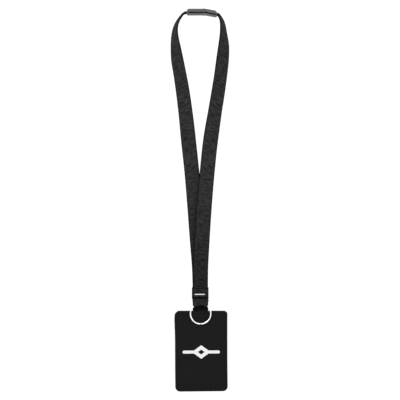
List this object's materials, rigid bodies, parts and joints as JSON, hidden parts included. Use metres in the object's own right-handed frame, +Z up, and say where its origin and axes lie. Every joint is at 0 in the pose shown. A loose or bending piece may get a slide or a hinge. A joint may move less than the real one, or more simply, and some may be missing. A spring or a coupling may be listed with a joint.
{
  "type": "lanyard badge holder",
  "caption": "Neck lanyard of flat webbing with a breakaway clasp, a split ring in a webbing loop and a fabric badge holder, hanging as worn.",
  "frame": {"origin": "middle of the clasp's underside just below its joint, where the loop rests on a neck or a peg", "axes": "+Z up, +X to the right seen from the front, and the front faces -Y"},
  "size_m": [0.0792, 0.024, 0.5099],
  "materials": {
    "clasp": "moulded, satin grey",
    "webbing": "dark grey woven webbing",
    "label": "black woven label",
    "print": "white print",
    "ring": "bright nickel plate",
    "holder_fabric": "black woven fabric",
    "binding": "black grosgrain tape",
    "board": "plain grey board, hidden",
    "window": "clear soft vinyl"
  },
  "bodies": {
    "strap_loop": {"neck_strap_left": "webbing", "neck_strap_right": "webbing", "socket_base": "clasp", "socket_cover": "clasp", "joint_label": "label", "label_mark": "print"},
    "clasp_plug": {"plug_base": "clasp", "plug_cover": "clasp"},
    "badge_holder": {"holder_tab": "webbing", "front_panel": "holder_fabric", "front_hem": "binding", "stiffener": "board", "pocket_lining": "holder_fabric", "card_window": "window", "window_frame": "holder_fabric", "edge_binding": "binding", "front_emblem": "print"},
    "ring_carrier": {"ring_loop": "webbing"},
    "ring": {"split_ring": "ring"}
  },
  "joints": [
    {"name": "clasp_release", "type": "slide", "parent": "strap_loop", "child": "clasp_plug", "axis": [1, 0, 0], "range_m": [0, 0.014], "deforming": ["neck_strap_right"]},
    {"name": "holder_swing", "type": "hinge", "parent": "strap_loop", "child": "badge_holder", "pos_m": [-0.001, -0.0002, -0.3806], "axis": [1, 0, 0], "range_deg": [-30, 60]},
    {"name": "ring_swing", "type": "hinge", "parent": "badge_holder", "child": "ring_carrier", "pos_m": [-0.001, -0.00065, -0.3806], "axis": [-1, 0, 0], "range_deg": [0, 30]},
    {"name": "ring_spin", "type": "hinge", "parent": "ring_carrier", "child": "ring", "pos_m": [-0.0008, -0.00335, -0.3979], "axis": [0, 1, 0], "continuous": true}
  ]
}
